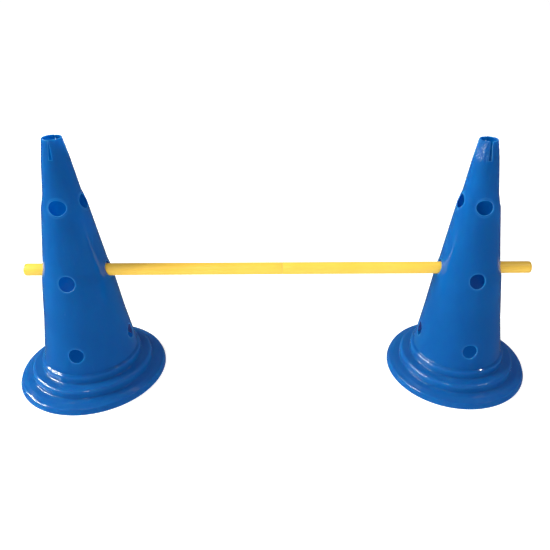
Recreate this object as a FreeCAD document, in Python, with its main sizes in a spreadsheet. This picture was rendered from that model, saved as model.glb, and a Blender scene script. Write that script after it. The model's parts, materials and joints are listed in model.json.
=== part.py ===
"""Agility hurdle: two perforated hollow cones and a two-piece jump pole.

Frame: millimetres, +Z up, floor at Z = 0, pole along X. The origin lies on the floor, midway
between the two cone axes.
"""

import FreeCAD
import Part

import math
import os
import re

import Sketcher
from FreeCAD import Placement, Rotation, Vector

DIMENSIONS = [
    # alias, value in mm (or a count), meaning
    ("axis_spacing", 774, "distance between the two cone axes"),
    ("cone_height", 505, "floor to the cut top of a cone"),
    ("wall", 2.3, "wall thickness of a cone"),
    ("base_radius", 146, "outer radius of the base flange"),
    ("lip_height", 2.5, "height of the upright edge of the flange"),
    ("slope_radius", 140.5, "radius where the flange edge starts to level out"),
    ("slope_height", 11.5, "height where the flange edge starts to level out"),
    ("flange_radius", 131.5, "outer radius of the level part of the flange"),
    ("flange_height", 16.5, "height of the level part of the flange"),
    ("lower_tier_radius", 119, "radius of the lower ring step"),
    ("lower_tier_height", 35, "height of the lower ring step"),
    ("upper_tier_radius", 97.8, "radius of the upper ring step"),
    ("upper_tier_height", 50.5, "height of the upper ring step"),
    ("tier_rise", 1, "rise of a tread from its edge to the next riser"),
    ("foot_radius", 91.8, "wall radius where the cone leaves the ring steps"),
    ("foot_height", 54.5, "height where the cone leaves the ring steps"),
    ("flare_radius", 77.8, "wall radius where the foot's flare ends"),
    ("flare_height", 140, "height where the foot's flare ends"),
    ("mid_step_low_radius", 65.3, "wall radius below the middle step"),
    ("mid_step_low_height", 233, "bottom of the middle step"),
    ("mid_step_high_radius", 59.8, "wall radius above the middle step"),
    ("mid_step_high_height", 254, "top of the middle step"),
    ("shoulder_low_radius", 40.3, "wall radius below the shoulder"),
    ("shoulder_low_height", 381, "bottom of the shoulder"),
    ("shoulder_high_radius", 34, "wall radius above the shoulder"),
    ("shoulder_high_height", 402, "top of the shoulder"),
    ("tip_radius", 24.3, "wall radius where the tip starts to close in"),
    ("tip_height", 468, "height where the tip starts to close in"),
    ("mouth_radius", 17.3, "outer radius of the cut top"),
    ("slope_round", 12, "rounding of the flange's slope"),
    ("tread_round", 9, "rounding of the ring steps' edges"),
    ("valley_round", 3, "rounding of the ring steps' inner corners"),
    ("upper_hole_diameter", 32, "hole diameter at the top level"),
    ("upper_hole_height", 386.5, "height of the top holes"),
    ("middle_hole_diameter", 30, "hole diameter at the middle level"),
    ("middle_hole_height", 243.5, "height of the middle holes"),
    ("lower_hole_diameter", 29, "hole diameter at the bottom level"),
    ("lower_hole_height", 94.5, "height of the bottom holes"),
    ("columns", 4, "hole columns round a cone"),
    ("slit_width", 8.2, "width of a slit at its bottom"),
    ("slit_mouth_width", 5.2, "width of a slit at the cut top, where the tip leans inwards"),
    ("slit_depth", 34, "depth of a slit below the cut top"),
    ("rib_width", 9, "width of a corner rib on the shoulder"),
    ("rib_top_height", 399, "top of a corner rib"),
    ("rib_top_radius", 37.6, "outer radius of a corner rib at its top"),
    ("pole_length", 1000, "tip to tip length of the joined pole"),
    ("pole_offset", 13.3, "pole centre to the right of the cones' midpoint"),
    ("pole_diameter", 24, "outer diameter of the pole"),
    ("pole_wall", 1.6, "wall thickness of the pole tubes"),
    ("pole_rest_gap", 0.35, "gap between the pole and the hole edge that it lies on"),
    ("pole_joint_gap", 0.3, "hairline gap between the two pole halves"),
    ("spigot_length", 100, "length of the spigot inside the pole halves"),
    ("spigot_wall", 2, "wall thickness of the spigot"),
    ("running_gap", 0.05, "radial clearance of spigot and plugs in the tubes"),
    ("cap_crown", 4.2, "length of an end cap's domed head"),
    ("cap_edge_round", 3.6, "rounding of an end cap's head"),
    ("plug_length", 14, "length of an end cap's plug inside the tube"),
    ("plug_wall", 2, "wall thickness of an end cap's plug"),
]

# Radius and height of each corner of a cone's outer surface. The base is a flange with two
# ring steps; the wall above it is straight conical stretches with a step at two hole levels.
LIP = [("base_radius", "0"), ("base_radius", "lip_height")]
BASE = [
    ("slope_radius", "slope_height"),
    ("flange_radius", "flange_height"),
    ("lower_tier_radius", "flange_height + tier_rise"),
    ("lower_tier_radius", "lower_tier_height"),
    ("upper_tier_radius", "lower_tier_height + tier_rise"),
    ("upper_tier_radius", "upper_tier_height"),
    ("foot_radius", "foot_height"),
]
WALL = [
    ("flare_radius", "flare_height"),
    ("mid_step_low_radius", "mid_step_low_height"),
    ("mid_step_high_radius", "mid_step_high_height"),
    ("shoulder_low_radius", "shoulder_low_height"),
    ("shoulder_high_radius", "shoulder_high_height"),
    ("tip_radius", "tip_height"),
    ("mouth_radius", "cone_height"),
]
LEVELS = ["upper", "middle", "lower"]

# A corner rib carries the lower wall's slope up over the shoulder, between two hole columns.
RIB_SIDE = [
    ("shoulder_low_radius - wall / 2", "shoulder_low_height"),
    ("shoulder_low_radius", "shoulder_low_height"),
    ("rib_top_radius", "rib_top_height"),
    ("shoulder_high_radius", "shoulder_high_height"),
    ("shoulder_high_radius - wall / 2", "shoulder_high_height"),
]
BETWEEN_COLUMNS = Placement(Vector(), Rotation(Vector(0, 1, 0), 45))

BORE_DIAMETER = "(pole_diameter - 2 * pole_wall)"
POLE_LEFT = "pole_offset - pole_length / 2"

POLE_AXIS_HEIGHT = (
    "middle_hole_height - middle_hole_diameter / 2 + pole_diameter / 2 + pole_rest_gap"
)

doc = FreeCAD.newDocument("agility_hurdle")


def make_sheet():
    """The spreadsheet of driving dimensions, one aliased cell each."""
    table = doc.addObject("Spreadsheet::Sheet", "dims")
    for row, (alias, value, meaning) in enumerate(DIMENSIONS, start=1):
        table.set(f"A{row}", meaning)
        table.set(f"B{row}", str(value))
        table.setAlias(f"B{row}", alias)
    doc.recompute()
    return table


sheet = make_sheet()


def amount(text):
    """The present value of a formula written with the sheet's aliases."""
    return float(sheet.evalExpression(text))


def formula(text):
    """The same formula as another object's expression refers to the sheet."""
    return re.sub(r"\b([a-z]\w*)\b", r"dims.\1", text)


def bind(feature, target, text):
    """Tie a property, or a named constraint, of a feature to the sheet."""
    feature.setExpression(target, formula(text))


def origin_part(body, role):
    """One of a body's own origin planes or axes."""
    return next(item for item in body.Origin.OriginFeatures if item.Role == role)


def new_sketch(body, name, plane, offset=Placement()):
    sketch = body.newObject("Sketcher::SketchObject", name)
    sketch.AttachmentSupport = [(origin_part(body, plane), "")]
    sketch.MapMode = "FlatFace"
    sketch.AttachmentOffset = offset
    return sketch


def tie_point(sketch, geometry, vertex, across, up):
    """Place one point of a sketch by two formulas, measured from the sketch's origin."""
    for kind, text in (("DistanceX", across), ("DistanceY", up)):
        value = amount(text)
        if abs(value) < 1e-9:
            axis = -2 if kind == "DistanceX" else -1
            sketch.addConstraint(Sketcher.Constraint("PointOnObject", geometry, vertex, axis))
            continue
        index = sketch.addConstraint(
            Sketcher.Constraint(kind, -1, 1, geometry, vertex, value)
        )
        name = f"{kind}{geometry}"
        sketch.renameConstraint(index, name)
        bind(sketch, f"Constraints.{name}", text)


def draw_polygon(sketch, corners):
    """A closed outline whose every corner is placed by two formulas."""
    points = [Vector(amount(across), amount(up), 0) for across, up in corners]
    for index, start in enumerate(points):
        end = points[(index + 1) % len(points)]
        sketch.addGeometry(Part.LineSegment(start, end), False)
    for index in range(len(points)):
        previous = (index - 1) % len(points)
        sketch.addConstraint(Sketcher.Constraint("Coincident", previous, 2, index, 1))
    for index, (across, up) in enumerate(corners):
        tie_point(sketch, index, 1, across, up)


def draw_circle(sketch, across, up, diameter):
    centre = Vector(amount(across), amount(up), 0)
    circle = Part.Circle(centre, Vector(0, 0, 1), amount(diameter) / 2)
    index = sketch.addGeometry(circle, False)
    tie_point(sketch, index, 3, across, up)
    size = sketch.addConstraint(Sketcher.Constraint("Diameter", index, amount(diameter)))
    sketch.renameConstraint(size, f"Diameter{index}")
    bind(sketch, f"Constraints.Diameter{index}", diameter)


def draw_quartered_circle(sketch, across, up, diameter):
    """A circle of four quarter arcs: a hole's rim in a curved wall, in four short stretches."""
    centre = Vector(amount(across), amount(up), 0)
    circle = Part.Circle(centre, Vector(0, 0, 1), amount(diameter) / 2)
    first = sketch.GeometryCount
    for quarter in range(4):
        start = quarter * math.pi / 2
        sketch.addGeometry(Part.ArcOfCircle(circle, start, start + math.pi / 2), False)
    tie_point(sketch, first, 3, across, up)
    for quarter in range(4):
        arc = first + quarter
        lined_up = "Vertical" if quarter % 2 else "Horizontal"
        sketch.addConstraint(Sketcher.Constraint(lined_up, first, 3, arc, 1))
        if arc != first:
            sketch.addConstraint(Sketcher.Constraint("Coincident", first, 3, arc, 3))
            sketch.addConstraint(Sketcher.Constraint("Coincident", arc - 1, 2, arc, 1))
    sketch.addConstraint(Sketcher.Constraint("Horizontal", first, 3, first + 3, 2))
    size = sketch.addConstraint(Sketcher.Constraint("Diameter", first, amount(diameter)))
    sketch.renameConstraint(size, f"Diameter{first}")
    bind(sketch, f"Constraints.Diameter{first}", diameter)


def revolve(body, name, sketch, axis_role):
    feature = body.newObject("PartDesign::Revolution", name)
    feature.Profile = sketch
    feature.ReferenceAxis = (origin_part(body, axis_role), [""])
    feature.Angle = 360
    doc.recompute()
    return feature


def circle_edges(shape, spots, tolerance=0.05):
    """Names of the horizontal circular edges at the given (radius, height) spots."""
    wanted = [(amount(radius), amount(height)) for radius, height in spots]
    names = []
    for index, edge in enumerate(shape.Edges, start=1):
        if not isinstance(edge.Curve, Part.Circle):
            continue
        for radius, height in wanted:
            same_radius = abs(edge.Curve.Radius - radius) < tolerance
            same_height = abs(edge.Curve.Center.z - height) < tolerance
            if same_radius and same_height:
                names.append(f"Edge{index}")
    return names


def round_edges(body, name, base, spots, radius):
    feature = body.newObject("PartDesign::Fillet", name)
    feature.Base = (base, circle_edges(base.Shape, spots))
    bind(feature, "Radius", radius)
    doc.recompute()
    return feature


def turn_copies(body, name, feature, count, angle):
    """Repeat a feature about the cone's axis."""
    pattern = body.newObject("PartDesign::PolarPattern", name)
    pattern.Originals = [feature]
    pattern.Refine = False
    pattern.Axis = (origin_part(body, "Z_Axis"), [""])
    pattern.Angle = angle
    bind(pattern, "Occurrences", count)
    body.Tip = pattern
    doc.recompute()
    return pattern


def pad_both_ways(body, name, sketch, thickness):
    feature = body.newObject("PartDesign::Pad", name)
    feature.Profile = sketch
    feature.SideType = "Symmetric"
    bind(feature, "Length", thickness)
    doc.recompute()
    return feature


def cut_columns(body, name, sketch):
    """Cut a sketch right through the cone, then again for every other column."""
    before = body.Shape.Volume
    feature = body.newObject("PartDesign::Pocket", name)
    feature.Profile = sketch
    feature.SideType = "Symmetric"
    feature.Type = "ThroughAll"
    feature.Refine = False
    doc.recompute()
    first = body.Shape.Volume
    turn_copies(body, f"{name}s", feature, "columns / 2", 90)
    assert before > first > body.Shape.Volume, f"{name} misses the cone"


def place(body, across, up, turn=0):
    """Put a sub-part at its place in the assembly, turned about Z."""
    body.Placement = Placement(Vector(), Rotation(Vector(0, 0, 1), turn))
    bind(body, "Placement.Base.x", across)
    bind(body, "Placement.Base.z", up)
    doc.recompute()


def cap_rim(shape):
    """Name of the outer edge of an end cap's head."""
    names = []
    for index, edge in enumerate(shape.Edges, start=1):
        is_circle = isinstance(edge.Curve, Part.Circle)
        if is_circle and abs(edge.Curve.Center.x + amount("cap_crown")) < 0.01:
            names.append(f"Edge{index}")
    return names


def make_cone(label, across):
    """One hollow cone, standing on the floor with its axis at X = across."""
    body = doc.addObject("PartDesign::Body", label)
    body.Label = label

    lip_inside = [("base_radius - wall", "0")]
    base_inside = [(f"{radius} - wall", f"{height} - wall") for radius, height in BASE]
    wall_inside = [(f"{radius} - wall", height) for radius, height in WALL]
    inside = lip_inside + base_inside + wall_inside
    section = new_sketch(body, f"{label}_section", "XZ_Plane")
    draw_polygon(section, LIP + BASE + WALL + inside[::-1])
    shell = revolve(body, f"{label}_shell", section, "Z_Axis")

    slope, treads, valleys = BASE[0:2], [BASE[3], BASE[5]], [BASE[2], BASE[4], BASE[6]]
    inner = dict(zip(BASE, base_inside))
    for name, corners, radius in (
        ("slope", slope, "slope_round"),
        ("tread", treads, "tread_round"),
        ("valley", valleys, "valley_round"),
    ):
        shell = round_edges(body, f"{label}_{name}_round", shell, corners, radius)
        growth = "+ wall" if name == "valley" else "- wall"
        under = [inner[corner] for corner in corners]
        shell = round_edges(body, f"{label}_{name}_under", shell, under, f"{radius} {growth}")

    rib = new_sketch(body, f"{label}_rib_side", "XZ_Plane", BETWEEN_COLUMNS)
    draw_polygon(rib, RIB_SIDE)
    first_rib = pad_both_ways(body, f"{label}_rib", rib, "rib_width")
    turn_copies(body, f"{label}_ribs", first_rib, "columns", 360)

    holes = new_sketch(body, f"{label}_holes", "YZ_Plane")
    for level in LEVELS:
        height, diameter = f"{level}_hole_height", f"{level}_hole_diameter"
        draw_quartered_circle(holes, "0", height, diameter)
    cut_columns(body, f"{label}_hole_pair", holes)

    slits = new_sketch(body, f"{label}_slits", "YZ_Plane")
    slit_side = [
        ("slit_width / 2", "cone_height - slit_depth"),
        ("slit_mouth_width / 2", "cone_height"),
        ("slit_mouth_width / 2", "cone_height + slit_depth"),
    ]
    draw_polygon(slits, slit_side + [(f"-{across}", up) for across, up in slit_side[::-1]])
    cut_columns(body, f"{label}_slit_pair", slits)

    place(body, across, "0")
    return body


def make_tube(label, left, length, outer, inner):
    """A round tube along X from X = left, on the pole's axis."""
    body = doc.addObject("PartDesign::Body", label)
    body.Label = label
    ring = new_sketch(body, f"{label}_ring", "YZ_Plane")
    draw_circle(ring, "0", "0", outer)
    draw_circle(ring, "0", "0", inner)
    feature = body.newObject("PartDesign::Pad", f"{label}_length")
    feature.Profile = ring
    bind(feature, "Length", length)
    doc.recompute()
    place(body, left, POLE_AXIS_HEIGHT)
    return body


def make_cap(label, seam, turn):
    """A domed end cap with a hollow plug; its head's seam is at X = seam, its plug points to +X
    when turn is 0 and to -X when turn is 180."""
    body = doc.addObject("PartDesign::Body", label)
    body.Label = label
    side = new_sketch(body, f"{label}_side", "XZ_Plane")
    plug_radius = f"{BORE_DIAMETER} / 2 - running_gap"
    hollow_radius = f"{plug_radius} - plug_wall"
    draw_polygon(
        side,
        [
            ("-cap_crown", "0"),
            ("-cap_crown", "pole_diameter / 2"),
            ("0", "pole_diameter / 2"),
            ("0", plug_radius),
            ("plug_length", plug_radius),
            ("plug_length", hollow_radius),
            ("0", hollow_radius),
            ("0", "0"),
        ],
    )
    head = revolve(body, f"{label}_head", side, "X_Axis")
    crown = body.newObject("PartDesign::Fillet", f"{label}_crown")
    crown.Base = (head, cap_rim(head.Shape))
    bind(crown, "Radius", "cap_edge_round")
    doc.recompute()
    place(body, seam, POLE_AXIS_HEIGHT, turn)
    return body


def check_and_export():
    """Stop at any failed object or bad shape, then write one STEP file for each sub-part."""
    for item in doc.Objects:
        assert not {"Invalid", "Error"} & set(item.State), f"{item.Name}: {item.State}"
    os.makedirs("parts", exist_ok=True)
    for body in doc.findObjects("PartDesign::Body"):
        shape = body.Shape
        assert not shape.isNull() and shape.isValid(), f"{body.Label} has no valid shape"
        assert len(shape.Solids) == 1, f"{body.Label} is not one solid"
        shape.exportStep(os.path.join("parts", f"{body.Label}.step"))
        box = shape.BoundBox
        print(f"{body.Label}: volume {shape.Volume:.0f}, X {box.XMin:.2f} to {box.XMax:.2f},",
              f"Z {box.ZMin:.2f} to {box.ZMax:.2f}")


make_cone("left_cone", "-axis_spacing / 2")
make_cone("right_cone", "axis_spacing / 2")

tube_length = "pole_length / 2 - cap_crown - pole_joint_gap / 2"
make_tube("pole_tube_left", f"{POLE_LEFT} + cap_crown", tube_length, "pole_diameter", BORE_DIAMETER)
make_tube("pole_tube_right", "pole_offset + pole_joint_gap / 2", tube_length, "pole_diameter",
          BORE_DIAMETER)
make_tube("pole_connector", "pole_offset - spigot_length / 2", "spigot_length",
          f"{BORE_DIAMETER} - 2 * running_gap", f"{BORE_DIAMETER} - 2 * running_gap - 2 * spigot_wall")
make_cap("end_cap_left", f"{POLE_LEFT} + cap_crown", 0)
make_cap("end_cap_right", f"{POLE_LEFT} + pole_length - cap_crown", 180)

doc.recompute()
check_and_export()
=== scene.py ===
"""Looks of the agility hurdle: two moulded cones and a jump pole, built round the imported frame."""
import bisect
import json
import math

import bmesh
import bpy
from mathutils import Matrix, Vector, noise


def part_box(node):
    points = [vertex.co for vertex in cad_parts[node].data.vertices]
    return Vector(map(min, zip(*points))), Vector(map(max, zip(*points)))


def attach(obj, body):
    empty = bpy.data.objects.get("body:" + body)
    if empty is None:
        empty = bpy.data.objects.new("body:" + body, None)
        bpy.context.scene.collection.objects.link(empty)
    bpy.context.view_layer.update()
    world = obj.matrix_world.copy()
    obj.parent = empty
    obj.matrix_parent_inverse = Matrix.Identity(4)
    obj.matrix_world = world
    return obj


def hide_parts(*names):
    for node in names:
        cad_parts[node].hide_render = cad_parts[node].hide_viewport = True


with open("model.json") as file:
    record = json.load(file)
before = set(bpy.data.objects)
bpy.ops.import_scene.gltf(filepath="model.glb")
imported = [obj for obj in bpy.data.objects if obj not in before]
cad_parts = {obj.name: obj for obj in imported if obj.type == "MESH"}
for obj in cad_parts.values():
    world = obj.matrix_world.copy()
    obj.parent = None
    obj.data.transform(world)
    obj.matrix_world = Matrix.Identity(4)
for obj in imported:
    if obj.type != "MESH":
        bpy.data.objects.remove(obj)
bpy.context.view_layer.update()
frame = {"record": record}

MM = 0.001

# ---------------------------------------------------------------- sizes

WALL = 2.3 * MM
COLUMNS = 4
SECTOR = math.tau / COLUMNS
SLIT_BOTTOM = 471 * MM
MOUTH = 505 * MM
SLIT_BOTTOM_HALF = 4.1 * MM
# Half width of each slit at the mouth, at +X, +Y, -X and -Y: the soft tips have bent unevenly.
SLIT_MOUTH_HALVES = {
    "left": (1.8 * MM, 1.1 * MM, 1.8 * MM, 1.5 * MM),
    "right": (1.8 * MM, 0.9 * MM, 1.8 * MM, 3.0 * MM),
}
PATCH_MARGIN = 7 * MM    # width of the finely meshed collar round a hole
TOP_FLATNESS = 0.85      # the top holes, moulded across the shoulder, are a little wider than high

# Corners of a cone's outer surface in millimetres: radius, height, rounding.
SHOULDER_LOW = (40.3, 381, 40)
SHOULDER_HIGH = (34, 402, 40)
CONE_CORNERS = [
    (146, 0, 0),          # standing edge
    (146, 2.5, 2),        # lip
    (142.5, 11.5, 4.5),   # edge of the flange
    (131.5, 15.5, 8),
    (119, 17.5, 3),       # lower ring step
    (119, 35, 7),
    (97.8, 36, 3),        # upper ring step
    (97.8, 50.5, 7),
    (91.8, 54.5, 3),      # foot of the wall
    (77.8, 140, 150),     # end of the flare
    (65.3, 233, 60),      # step at the middle holes
    (59.8, 254, 60),
    SHOULDER_LOW,         # shoulder at the top holes
    SHOULDER_HIGH,
    (24.3, 468, 80),      # tip
    (17.3, 505, 0),
]
RING_STEPS_TOP = 52 * MM             # below this height and outside this radius lies the base
RING_STEPS_INSIDE = 92 * MM
RIB_RISE = 1.4 * MM
RIB_HEIGHTS = (391 * MM, 413 * MM)   # where a rib is highest, where it has faded out
RIB_HALF_WIDTH = 7 * MM

POLE_RADIUS = 12 * MM
POLE_BORE = 10.4 * MM
SPIGOT_WALL = 2 * MM
CAP_CROWN = 4.2 * MM
PLUG_LENGTH = 14 * MM
PLUG_RADIUS = POLE_BORE - 0.05 * MM
PLUG_WALL = 2 * MM
POLE_HEIGHT = sum(corner.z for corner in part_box("pole_tube_left")) / 2


def bores(side):
    """Height and radius of a cone's three hole levels, from the bottom up."""
    levels = []
    for mount in frame["record"]["mounts"]:
        name = mount["name"]
        if name.startswith(side) and name.endswith(("crosswise_bore", "front_bore")):
            levels.append((mount["pos_m"][2], mount["dims"]["r_mm"] * MM))
    return sorted(levels)


# ---------------------------------------------------------------- outlines


def rounded_path(corners, closed=False, step=math.radians(7)):
    """Points along a polyline whose corners (x, y, rounding) are turned into arcs."""
    points = []
    count = len(corners)
    for index, (x, y, rounding) in enumerate(corners):
        here = Vector((x, y))
        at_end = index in (0, count - 1) and not closed
        if at_end or rounding <= 0:
            points.append(here)
            continue
        before = Vector(corners[(index - 1) % count][:2]) - here
        after = Vector(corners[(index + 1) % count][:2]) - here
        turn = math.pi - before.angle(after)
        reach = rounding * math.tan(turn / 2)
        start = here + before.normalized() * reach
        middle = (before.normalized() + after.normalized()).normalized()
        centre = here + middle * (rounding / math.cos(turn / 2))
        pieces = max(3, math.ceil(turn / step))
        first = start - centre
        side = 1 if before.x * after.y - before.y * after.x < 0 else -1
        for k in range(pieces + 1):
            angle = side * turn * k / pieces
            turned = Matrix.Rotation(angle, 2) @ first
            points.append(centre + turned)
    return points


def divided(points, spacing):
    """The same path with its long stretches divided."""
    fine = [points[0]]
    for start, end in zip(points, points[1:]):
        pieces = max(1, math.ceil((end - start).length / spacing))
        fine += [start.lerp(end, k / pieces) for k in range(1, pieces + 1)]
    return fine


class ConeProfile:
    """The cone's outer outline as rows from the standing edge to the mouth, in metres.

    The rows nearest to the slits' bottom and to each hole's collar are moved right onto them.
    """

    ROW_SPACING = 4   # in millimetres
    WALL_START = 60 * MM

    def __init__(self, levels):
        path = rounded_path(CONE_CORNERS)
        rows = [point * MM for point in divided(path, self.ROW_SPACING)]
        foot = next(k for k, row in enumerate(rows) if row.y > self.WALL_START)
        self.heights = [row.y for row in rows[foot:]]
        self.radii = [row.x for row in rows[foot:]]
        marks = [SLIT_BOTTOM]
        for height, radius in levels:
            reach = radius + PATCH_MARGIN
            marks += [height - reach, height + reach]
        wall = list(self.heights)
        for mark in marks:
            nearest = min(range(1, len(wall) - 1), key=lambda k: abs(wall[k] - mark))
            wall[nearest] = mark
        self.rows = rows[:foot] + [Vector((self.radius(height), height)) for height in wall]

    def radius(self, height):
        """Wall radius at a height above the ring steps."""
        k = min(max(bisect.bisect(self.heights, height), 1), len(self.heights) - 1)
        low, high = self.heights[k - 1], self.heights[k]
        share = (height - low) / (high - low)
        return self.radii[k - 1] + share * (self.radii[k] - self.radii[k - 1])

    def row_at(self, height):
        """Number of the row that was moved onto a height."""
        return next(k for k, row in enumerate(self.rows) if abs(row.y - height) < 1e-7)


def smooth(low, high, value):
    """A soft step from 0 at low to 1 at high."""
    share = min(max((value - low) / (high - low), 0), 1)
    return share * share * (3 - 2 * share)


def rib_rise(angle, height):
    """How far the corner ribs stand out of the shoulder, between two hole columns."""
    low_radius, low_height, high_radius, high_height = (
        size * MM for corner in (SHOULDER_LOW, SHOULDER_HIGH) for size in corner[:2]
    )
    top_height, fade_height = RIB_HEIGHTS
    if not low_height < height < fade_height:
        return 0.0
    share = (height - low_height) / (high_height - low_height)
    wall = low_radius + share * (high_radius - low_radius)
    rising = smooth(low_height, top_height, height)
    fading = smooth(top_height - 1 * MM, fade_height, height)
    along = rising * (1 - fading)
    width = abs((angle % SECTOR) - SECTOR / 2) * wall
    return RIB_RISE * along * (1 - smooth(RIB_HALF_WIDTH * 0.4, RIB_HALF_WIDTH * 1.6, width))


def link(name, data):
    """A new object in the scene."""
    piece = bpy.data.objects.new(name, data)
    bpy.context.scene.collection.objects.link(piece)
    return piece


def store(mesh, name, values):
    """Stores a value for each point of a mesh, for its material to read."""
    mesh.attributes.new(name, "FLOAT", "POINT").data.foreach_set("value", values)


# ---------------------------------------------------------------- cone mesh


class ConeShell:
    """Builds one hollow cone: outer skin, inner skin, and a rounded edge at every opening."""

    HALF = 24      # mesh columns in half a sector
    SLIT = 2       # mesh columns in half a slit
    TOTAL = 2 * HALF * COLUMNS
    COLLAR = (0.25, 0.5, 0.72, 0.88, 1.0)   # rings of a collar, from its border to the hole
    UNEVEN = 0.35 * MM     # slow waves of the skin
    BASE_WEAR = 0.2        # wear on the ring steps
    COLLAR_WEAR = 0.4      # wear on the skin next to a hole's edge
    COLLAR_WEAR_WIDTH = 1.5 * MM
    EDGE_STEPS = 6         # faces across a rounded edge
    EDGE_SQUARENESS = 0.4  # 1 is a half circle, 0 is square

    def __init__(self, side, seed, crumple):
        low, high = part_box(f"{side}_cone")
        self.centre = Vector(((low.x + high.x) / 2, (low.y + high.y) / 2, 0))
        self.levels = bores(side)
        self.profile = ConeProfile(self.levels)
        self.seed = Vector((seed, 2.7 * seed, -1.3 * seed))
        self.crumple = crumple
        self.slit_mouths = SLIT_MOUTH_HALVES[side]
        self.points = []
        self.faces = []
        self.wear = []

    def angle(self, column, height, radius):
        """Angle of a mesh column. Near the mouth the columns follow the slits' edges."""
        sector, place = divmod(column, 2 * self.HALF)
        offset = place if place <= self.HALF else place - 2 * self.HALF
        if place > self.HALF:
            sector += 1
        even = SECTOR / 2 * self.SLIT / self.HALF
        mouth = self.slit_mouths[sector % COLUMNS]
        share = min(max((height - SLIT_BOTTOM) / (MOUTH - SLIT_BOTTOM), 0), 1)
        slit = math.asin((SLIT_BOTTOM_HALF + share * (mouth - SLIT_BOTTOM_HALF)) / radius)
        edge = even + (slit - even) * smooth(SLIT_BOTTOM - 30 * MM, SLIT_BOTTOM, height)
        if abs(offset) <= self.SLIT:
            local = edge * offset / self.SLIT
        else:
            share = (abs(offset) - self.SLIT) / (self.HALF - self.SLIT)
            local = math.copysign(edge + share * (SECTOR / 2 - edge), offset)
        return sector * SECTOR + local

    def skin_point(self, angle, radius, height):
        """A point of the outer skin, with the unevenness of a soft moulding."""
        radius += rib_rise(angle, height)
        around = Vector((math.cos(angle), math.sin(angle), 0))
        spot = around * radius + Vector((0, 0, height))
        slow = noise.noise(spot * 14 + self.seed)
        radius += self.UNEVEN * slow * smooth(0, 20 * MM, height)
        tip = smooth(SLIT_BOTTOM - 12 * MM, SLIT_BOTTOM + 20 * MM, height)
        if tip > 0:
            radius += self.crumple * tip * noise.noise(spot * 210 + self.seed)
            height += 0.5 * self.crumple * tip * noise.noise(spot * 150 - self.seed)
        return around * radius + Vector((0, 0, height))

    def dent(self, point):
        """How crumpled the tip is: most on one side, towards the left and the front."""
        squeezed = -0.6 * point.x - 0.8 * point.y
        side = smooth(0.0, 0.5, squeezed / math.hypot(point.x, point.y))
        return side * smooth(462 * MM, 480 * MM, point.z) * self.crumple / MM

    def add(self, point, wear):
        """Adds a point and gives its number."""
        self.points.append(point)
        self.wear.append(wear)
        return len(self.points) - 1

    def build_skin(self):
        """A grid of faces in rows and columns, open at the slits, with a collar at each hole."""
        rows = self.profile.rows
        grid = []
        for row in rows:
            ring = []
            for column in range(self.TOTAL):
                angle = self.angle(column, row.y, row.x)
                on_base = row.y < RING_STEPS_TOP and row.x > RING_STEPS_INSIDE
                point = self.skin_point(angle, row.x, row.y)
                ring.append(self.add(point, self.BASE_WEAR if on_base else 0.0))
            grid.append(ring)
        slit_row = self.profile.row_at(SLIT_BOTTOM)
        taken = set()
        for height, radius in self.levels:
            reach = radius + PATCH_MARGIN
            low = self.profile.row_at(height - reach)
            high = self.profile.row_at(height + reach)
            half = self.collar_columns(height, reach)
            flatness = TOP_FLATNESS if height == self.levels[-1][0] else 1.0
            for sector in range(COLUMNS):
                middle = sector * 2 * self.HALF
                for k in range(low, high):
                    taken.update((k, (middle + j) % self.TOTAL) for j in range(-half, half))
                self.build_collar(grid, sector, low, high, half, height, radius, flatness)
        for k in range(len(rows) - 1):
            for column in range(self.TOTAL):
                offset = (column + self.HALF) % (2 * self.HALF) - self.HALF
                in_slit = k >= slit_row and -self.SLIT <= offset < self.SLIT
                if (k, column) in taken or in_slit:
                    continue
                after = (column + 1) % self.TOTAL
                lower, upper = grid[k], grid[k + 1]
                self.faces.append((lower[column], lower[after], upper[after], upper[column]))

    def collar_columns(self, height, reach):
        """Mesh columns from a hole's centre line to the edge of its collar."""
        wanted = math.asin(reach / self.profile.radius(height + reach / 2)) / (SECTOR / 2)
        return min(self.HALF - 3, round(wanted * self.HALF))

    def build_collar(self, grid, sector, low, high, half, height, radius, flatness):
        """Rings of faces from a square patch of the grid to the round edge of a hole."""
        middle = sector * 2 * self.HALF
        columns = [(middle + j) % self.TOTAL for j in range(-half, half + 1)]
        border = [grid[low][c] for c in columns]
        border += [grid[k][columns[-1]] for k in range(low + 1, high)]
        border += [grid[high][c] for c in reversed(columns)]
        border += [grid[k][columns[0]] for k in range(high - 1, low, -1)]
        turn = Matrix.Rotation(-sector * SECTOR, 3, "Z")
        flats = [turn @ self.points[index] for index in border]
        edge_radius = radius + WALL / 2
        rings = [border]
        for share in self.COLLAR:
            ring = []
            for flat in flats:
                outward = Vector((flat.y, flat.z - height))
                rim = outward.normalized() * edge_radius
                rim.y *= flatness
                spot = outward.lerp(rim, share)
                across, up = spot.x, height + spot.y
                wall = self.profile.radius(up)
                around = math.asin(across / wall)
                away = (spot.length - edge_radius) / self.COLLAR_WEAR_WIDTH
                point = self.skin_point(around + sector * SECTOR, wall, up)
                ring.append(self.add(point, self.COLLAR_WEAR * math.exp(-away * away)))
            rings.append(ring)
        for outer, inner in zip(rings, rings[1:]):
            for k in range(len(outer)):
                after = (k + 1) % len(outer)
                self.faces.append((outer[k], outer[after], inner[after], inner[k]))

    def open_loops(self):
        """Closed chains of the skin's border edges."""
        edges = dict.fromkeys(edge for face in self.faces for edge in zip(face, face[1:] + face[:1]))
        following = {start: end for start, end in edges if (end, start) not in edges}
        loops = []
        while following:
            start = next(iter(following))
            loop = [start]
            step = following.pop(start)
            while step != start:
                loop.append(step)
                step = following.pop(step)
            loops.append(loop)
        return loops

    def build(self, name):
        """The finished cone as an object in the scene."""
        self.build_skin()
        skin = bpy.data.meshes.new("skin")
        skin.from_pydata(self.points, [], self.faces)
        skin.update()
        normals = [vertex.normal.copy() for vertex in skin.vertices]
        bpy.data.meshes.remove(skin)

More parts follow.
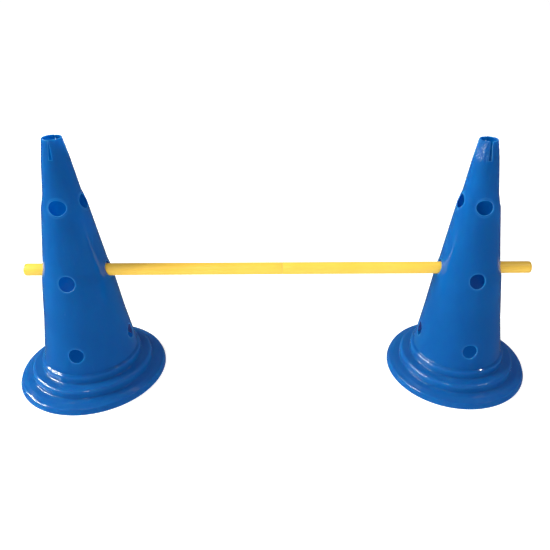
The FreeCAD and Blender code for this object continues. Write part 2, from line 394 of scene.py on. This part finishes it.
        loops = self.open_loops()
        count = len(self.points)
        skin_faces = list(self.faces)
        for index in range(count):
            self.add(self.points[index] - normals[index] * WALL, 0.0)
        self.faces += [tuple(index + count for index in reversed(face)) for face in skin_faces]
        for loop in loops:
            self.build_edge(loop, normals, count)

        mesh = bpy.data.meshes.new(name)
        mesh.from_pydata([point + self.centre for point in self.points], [], self.faces)
        mesh.polygons.foreach_set("use_smooth", [True] * len(mesh.polygons))
        store(mesh, "wear", self.wear)
        store(mesh, "dent", [self.dent(point) for point in self.points])
        mesh.validate()
        return link(name, mesh)

    def build_edge(self, loop, normals, count):
        """A squarish rounded edge that joins the outer skin to the inner one along a loop."""
        size = len(loop)
        standing = all(self.points[index].z < 1 * MM for index in loop)
        bulge = WALL * (0.25 if standing else 0.5)
        rings = [loop]
        outward = []
        for k in range(size):
            along = self.points[loop[(k + 1) % size]] - self.points[loop[k - 1]]
            outward.append(along.cross(normals[loop[k]]).normalized())
        for step in range(1, self.EDGE_STEPS):
            angle = math.pi * step / self.EDGE_STEPS
            depth = math.copysign(abs(math.cos(angle)) ** self.EDGE_SQUARENESS, math.cos(angle))
            reach = math.sin(angle) ** self.EDGE_SQUARENESS
            ring = []
            for k, index in enumerate(loop):
                point = self.points[index] - normals[index] * (WALL / 2 * (1 - depth))
                ring.append(self.add(point + outward[k] * (bulge * reach), 1.0))
            rings.append(ring)
        rings.append([index + count for index in loop])
        for first, second in zip(rings, rings[1:]):
            for k in range(size):
                after = (k + 1) % size
                self.faces.append((first[after], first[k], second[k], second[after]))


# ---------------------------------------------------------------- turned pieces


def lathe(name, outline, start, forward):
    """Turns an outline of (along, radius) points in metres about the pole's axis.

    The outline runs closed round a ring, or from axis to axis. `start` is the X place of
    along = 0 and `forward` is +1 or -1, the way that `along` grows. Close points mark a worn bend.
    """
    segments = 72
    bend_spacing = 1 * MM
    bend_wear = 0.8
    unevenness = 0.004
    on_axis = 1e-9
    from_axis = outline[0].y < on_axis
    points, faces, wear = [], [], []
    rings = []
    for k, spot in enumerate(outline):
        before, after = outline[k - 1], outline[(k + 1) % len(outline)]
        bend = (after - before).length < bend_spacing
        if spot.y < on_axis:
            rings.append([len(points)] * segments)
            points.append(Vector((start + forward * spot.x, 0, POLE_HEIGHT)))
            wear.append(0.0)
            continue
        ring = []
        for j in range(segments):
            angle = math.tau * j / segments
            place = Vector((spot.x * 30, math.cos(angle), math.sin(angle)))
            radius = spot.y * (1 + unevenness * noise.noise(place))
            across, up = radius * math.cos(angle), radius * math.sin(angle)
            ring.append(len(points))
            points.append(Vector((start + forward * spot.x, across, POLE_HEIGHT + up)))
            wear.append(bend_wear if bend else 0.0)
        rings.append(ring)
    pairs = list(zip(rings, rings[1:]))
    if not from_axis:
        pairs.append((rings[-1], rings[0]))
    for first, second in pairs:
        for j in range(segments):
            after = (j + 1) % segments
            corners = (first[j], second[j], second[after], first[after])
            faces.append(tuple(dict.fromkeys(corners)))
    mesh = bpy.data.meshes.new(name)
    mesh.from_pydata(points, [], faces)
    mesh.polygons.foreach_set("use_smooth", [True] * len(faces))
    store(mesh, "wear", wear)
    work = bmesh.new()
    work.from_mesh(mesh)
    bmesh.ops.recalc_face_normals(work, faces=work.faces)
    work.to_mesh(mesh)
    work.free()
    return link(name, mesh)


def ring_outline(length, outer, inner, rounding):
    """The section of a tube as a closed outline with rounded edges, in metres."""
    ends = ((0, inner), (0, outer), (length, outer), (length, inner))
    corners = [(along, radius, rounding) for along, radius in ends]
    path = rounded_path(corners, closed=True, step=math.radians(20))
    return divided(path + path[:1], 25 * MM)[:-1]


# ---------------------------------------------------------------- materials


class Nodes:
    """Short calls for building a node-based material."""

    def __init__(self, name):
        self.material = bpy.data.materials.new(name)
        self.material.use_nodes = True
        self.tree = self.material.node_tree
        self.shader = self.tree.nodes["Principled BSDF"]

    def new(self, kind, inputs=(), **settings):
        """A node with its settings, and its inputs linked or set."""
        node = self.tree.nodes.new(kind)
        for key, value in settings.items():
            setattr(node, key, value)
        for socket, value in dict(inputs).items():
            if isinstance(value, bpy.types.NodeSocket):
                self.tree.links.new(value, node.inputs[socket])
            else:
                node.inputs[socket].default_value = value
        return node

    def noise(self, scale, detail=2.0, stretch=(1, 1, 1)):
        """Soft noise in the piece's own space, drawn out where stretch is small."""
        where = self.new("ShaderNodeTexCoord").outputs["Object"]
        place = self.new("ShaderNodeMapping", {"Vector": where, "Scale": stretch}).outputs["Vector"]
        node = self.new("ShaderNodeTexNoise", {"Vector": place, "Scale": scale, "Detail": detail})
        return node.outputs["Fac"]

    def span(self, value, low, high, to_low, to_high):
        """Maps a value's range to another, clamped."""
        node = self.new(
            "ShaderNodeMapRange",
            {"Value": value, "From Min": low, "From Max": high, "To Min": to_low, "To Max": to_high},
        )
        return node.outputs["Result"]

    def mix(self, share, first, second):
        """Blends two colours."""
        node = self.new("ShaderNodeMix", data_type="RGBA")
        for socket, value in ((0, share), (6, first), (7, second)):
            if isinstance(value, bpy.types.NodeSocket):
                self.tree.links.new(value, node.inputs[socket])
            else:
                node.inputs[socket].default_value = value
        return node.outputs[2]

    def sum(self, first, second, factor):
        """first + second * factor"""
        node = self.new("ShaderNodeMath", {0: second, 1: factor, 2: first}, operation="MULTIPLY_ADD")
        return node.outputs[0]

    def painted(self, name):
        """A value stored on the mesh's points."""
        return self.new("ShaderNodeAttribute", attribute_name=name).outputs["Fac"]

    def clouded(self, scale, detail, first, second):
        """Two colours in soft clouds."""
        return self.mix(self.span(self.noise(scale, detail), 0.3, 0.7, 0, 1), first, second)

    def worn(self, colour, share, worn_colour):
        """The colour with its worn edges blended towards another one."""
        return self.mix(self.span(self.painted("wear"), 0, 1, 0, share), colour, worn_colour)

    def bump(self, height, distance, strength=1.0, below=None):
        """A bumpy normal on top of another one."""
        inputs = {"Height": height, "Distance": distance, "Strength": strength}
        if below is not None:
            inputs["Normal"] = below
        return self.new("ShaderNodeBump", inputs).outputs["Normal"]

    def finish(self, colour, roughness, normal, **uniform):
        """Links the varying sockets and sets the even ones directly."""
        for socket, value in (("Base Color", colour), ("Roughness", roughness), ("Normal", normal)):
            self.tree.links.new(value, self.shader.inputs[socket])
        for socket, value in uniform.items():
            self.shader.inputs[socket.replace("_", " ")].default_value = value
        return self.material


def cone_plastic():
    """Semi-gloss coloured polyethylene, slightly translucent, with scuffs and paler worn edges."""
    make = Nodes("cone_plastic")
    colour = make.clouded(9, 4, (0.003, 0.082, 0.30, 1), (0.004, 0.095, 0.337, 1))
    scuffs = make.span(make.noise(240, 3, (1, 1, 0.1)), 0.62, 0.75, 0, 1)
    patches = make.span(make.noise(18, 3), 0.50, 0.72, 0, 1)
    scuff = make.new("ShaderNodeMath", {0: scuffs, 1: patches}, operation="MULTIPLY").outputs[0]
    colour = make.mix(make.span(scuff, 0, 1, 0, 0.10), colour, (0.06, 0.22, 0.52, 1))
    colour = make.worn(colour, 0.50, (0.05, 0.24, 0.60, 1))
    rough = make.span(make.noise(45, 4), 0.3, 0.7, 0.06, 0.10)
    rough = make.sum(rough, scuff, 0.2)
    rough = make.sum(rough, make.painted("wear"), 0.05)
    normal = make.bump(make.noise(26, 2), 0.6 * MM)
    normal = make.bump(make.noise(140, 2), 0.08 * MM, below=normal)
    normal = make.bump(make.noise(330, 2), 2.2 * MM, make.painted("dent"), below=normal)
    normal = make.bump(make.noise(900, 2), 0.012 * MM, below=normal)
    normal = make.bump(scuff, 0.012 * MM, below=normal)
    return make.finish(
        colour,
        rough,
        normal,
        IOR=1.5,
        Subsurface_Weight=1.0,
        Subsurface_Scale=12 * MM,
        Subsurface_Radius=(0.03, 0.68, 0.92),
    )


def pole_plastic():
    """Satin yellow tube with fine drawing lines along it and scuffs where it rubs."""
    make = Nodes("pole_plastic")
    colour = make.clouded(12, 3, (1.0, 0.585, 0.066, 1), (1.0, 0.63, 0.088, 1))
    lines = make.noise(700, 2, (0.01, 1, 1))
    scuffs = make.span(make.noise(260, 3, (0.25, 1, 1)), 0.62, 0.72, 0, 1)
    colour = make.mix(make.span(scuffs, 0, 1, 0, 0.25), colour, (0.62, 0.40, 0.07, 1))
    colour = make.worn(colour, 0.4, (0.50, 0.30, 0.05, 1))
    rough = make.sum(make.span(lines, 0.3, 0.7, 0.30, 0.40), scuffs, 0.2)
    normal = make.bump(lines, 0.03 * MM)
    normal = make.bump(make.noise(60, 2), 0.15 * MM, below=normal)
    return make.finish(colour, rough, normal, IOR=1.5)


def connector_plastic():
    """Plain pale moulded plastic with a fine sandblasted grain and insertion marks."""
    make = Nodes("connector_plastic")
    colour = make.clouded(40, 3, (0.60, 0.60, 0.56, 1), (0.68, 0.68, 0.64, 1))
    colour = make.worn(colour, 0.3, (0.5, 0.5, 0.46, 1))
    lines = make.noise(900, 2, (0.02, 1, 1))
    rough = make.span(lines, 0.3, 0.7, 0.42, 0.60)
    normal = make.bump(make.noise(1400, 2), 0.02 * MM)
    return make.finish(colour, rough, normal, IOR=1.48)


def dress(piece, material, slot, body, *nodes):
    """Finish, body and the CAD nodes that a piece stands for."""
    piece.data.materials.append(material)
    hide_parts(*nodes)
    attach(piece, body)


# ---------------------------------------------------------------- the object

blue = cone_plastic()
cones = []
for side, seed, crumple in (("left", 3.1, 0.35 * MM), ("right", 8.4, 1.0 * MM)):
    shell = ConeShell(side, seed, crumple)
    cone = shell.build(f"{side}_cone_shell")
    dress(cone, blue, "cone_plastic", f"{side}_cone", f"{side}_cone")
    cones.append((cone, shell.centre))

yellow = pole_plastic()
for side in ("left", "right"):
    low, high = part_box(f"pole_tube_{side}")
    outline = ring_outline(high.x - low.x, POLE_RADIUS, POLE_BORE, 0.35 * MM)
    tube = lathe(f"{side}_pole_half", outline, low.x, 1)
    dress(tube, yellow, "pole_plastic", f"pole_{side}", f"pole_tube_{side}")

low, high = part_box("pole_connector")
spigot_radius = (high.z - low.z) / 2
outline = ring_outline(high.x - low.x, spigot_radius, spigot_radius - SPIGOT_WALL, 0.8 * MM)
spigot = lathe("pole_spigot", outline, low.x, 1)
dress(spigot, connector_plastic(), "connector_plastic", "pole_connector", "pole_connector")

for side, forward in (("left", 1), ("right", -1)):
    low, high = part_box(f"end_cap_{side}")
    tip = low.x if forward > 0 else high.x
    corners = [
        (0, 0, 0),
        (0.35 * MM, 4 * MM, 6 * MM),
        (0.6 * MM, POLE_RADIUS, 3.4 * MM),
        (CAP_CROWN, POLE_RADIUS, 0.4 * MM),
        (CAP_CROWN, PLUG_RADIUS, 0.2 * MM),
        (CAP_CROWN + PLUG_LENGTH, PLUG_RADIUS, 0.6 * MM),
        (CAP_CROWN + PLUG_LENGTH, PLUG_RADIUS - PLUG_WALL, 0.4 * MM),
        (CAP_CROWN, PLUG_RADIUS - PLUG_WALL, 0.4 * MM),
        (CAP_CROWN, 0, 0),
    ]
    outline = rounded_path(corners, step=math.radians(15))
    cap = lathe(f"{side}_cap", outline, tip, forward)
    dress(cap, yellow, "cap_plastic", f"pole_{side}", f"end_cap_{side}")

# ---------------------------------------------------------------- floor, light and camera

PAINTED_SHADE_RADII = (140 * MM, 147 * MM)   # radii between which the floor turns from its painted dim blue shade to white
LAMP_TARGET = Vector((0, 0, 0.15))
ROOM_LIGHT = 0.45        # strength of the room, seen as white by the camera
ROOM_REFLECTION = 0.1    # the same in reflections


def plain_floor(cones):
    """A white floor with an even glow. Under each cone its colour and glow are painted a dim blue
    shade, as if lit only by light through the blue walls, and that follows the cone.
    """
    make = Nodes("floor")
    outside = 1.0
    for cone, centre in cones:
        where = make.new("ShaderNodeTexCoord", object=cone).outputs["Object"]
        away = make.new("ShaderNodeVectorMath", {0: where, 1: centre}, operation="DISTANCE")
        beyond = make.span(away.outputs["Value"], *PAINTED_SHADE_RADII, 0, 1)
        outside = make.new("ShaderNodeMath", {0: outside, 1: beyond}, operation="MULTIPLY").outputs[0]
    colour = make.clouded(3, 2, (0.86, 0.86, 0.86, 1), (0.88, 0.88, 0.88, 1))
    # Painted shade: under each cone the floor's colour is dark blue instead of white.
    colour = make.mix(outside, (0.002, 0.10, 0.30, 1), colour)
    # Painted shade and painted blue light: under each cone the glow is dim blue instead of white.
    glow = make.mix(outside, (0.0005, 0.045, 0.20, 1), (0.6, 0.6, 0.6, 1))
    normal = make.bump(make.noise(500, 2), 0.02 * MM)
    rough = make.span(make.noise(80, 2), 0.3, 0.7, 0.7, 0.8)
    material = make.finish(colour, rough, normal, Emission_Strength=1.0)
    make.tree.links.new(glow, make.shader.inputs["Emission Color"])
    mesh = bpy.data.meshes.new("floor")
    half = 30
    corners = [(-half, -half, 0), (half, -half, 0), (half, half, 0), (-half, half, 0)]
    mesh.from_pydata(corners, [], [(0, 1, 2, 3)])
    floor = link("floor", mesh)
    floor.data.materials.append(material)
    floor.visible_glossy = False


def strip_lamp(name, azimuth, elevation, distance, width, height, power, colour=(1, 1, 1)):
    """An area light seen from the hurdle at an azimuth (0 is +X, counted towards +Y)."""
    lamp = bpy.data.lights.new(name, "AREA")
    lamp.shape = "RECTANGLE"
    lamp.size = width
    lamp.size_y = height
    lamp.energy = power
    lamp.color = colour
    around, up = math.radians(azimuth), math.radians(elevation)
    outward = Vector((math.cos(up) * math.cos(around), math.cos(up) * math.sin(around), math.sin(up)))
    light = link(name, lamp)
    light.location = LAMP_TARGET + outward * distance
    light.rotation_euler = outward.to_track_quat("Z", "Y").to_euler()


def studio_light():
    """A white room, dim in reflections, with strip lamps at the left, in front and at the right."""
    world = bpy.data.worlds.new("studio")
    world.use_nodes = True
    tree = world.node_tree
    rays = tree.nodes.new("ShaderNodeLightPath")
    fill = tree.nodes.new("ShaderNodeMapRange")
    fill.inputs["To Min"].default_value = ROOM_LIGHT
    fill.inputs["To Max"].default_value = ROOM_REFLECTION
    tree.links.new(rays.outputs["Is Glossy Ray"], fill.inputs["Value"])
    strength = tree.nodes.new("ShaderNodeMath")
    strength.operation = "MAXIMUM"
    tree.links.new(fill.outputs["Result"], strength.inputs[0])
    tree.links.new(rays.outputs["Is Camera Ray"], strength.inputs[1])
    background = tree.nodes["Background"]
    background.inputs["Color"].default_value = (1, 1, 1, 1)
    tree.links.new(strength.outputs[0], background.inputs["Strength"])
    bpy.context.scene.world = world
    for elevation in (24, 31, 38):
        strip_lamp(f"window_{elevation}", -178, elevation, 6.0, 4.4, 0.15, 206, (0.90, 1.0, 0.88))
    for elevation in (44, 52):
        strip_lamp(f"ceiling_{elevation}", -108, elevation, 3.2, 0.6, 0.03, 4.5)
        strip_lamp(f"far_lamp_{elevation}", -17, elevation, 3.0, 0.3, 0.03, 4.5)


def studio_camera():
    """The view is a fit of a pinhole camera to the hurdle: place in metres, angles in degrees."""
    boxes = [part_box(f"{side}_cone") for side in ("left", "right")]
    middle = sum(corner.x for box in boxes for corner in box) / 4
    place = Vector((middle + 0.0232, -1.0181, 0.8183))
    pitch, yaw, roll = (math.radians(angle) for angle in (27.76, 2.69, 1.03))
    lens = bpy.data.cameras.new("camera")
    lens.sensor_width = 36
    lens.lens = 38.6
    lens.shift_x = -0.0667
    lens.shift_y = -0.0458
    ahead = Vector((math.sin(yaw), math.cos(yaw), 0))
    forward = ahead * math.cos(pitch) - Vector((0, 0, math.sin(pitch)))
    level = Vector((math.cos(yaw), -math.sin(yaw), 0))
    upright = level.cross(forward)
    right = math.cos(roll) * level + math.sin(roll) * upright
    top = math.cos(roll) * upright - math.sin(roll) * level
    turned = Matrix((right, top, -forward)).transposed().to_4x4()
    camera = link("camera", lens)
    camera.matrix_world = Matrix.Translation(place) @ turned
    bpy.context.scene.camera = camera


plain_floor(cones)
studio_light()
studio_camera()
bpy.context.scene.view_settings.view_transform = "Standard"
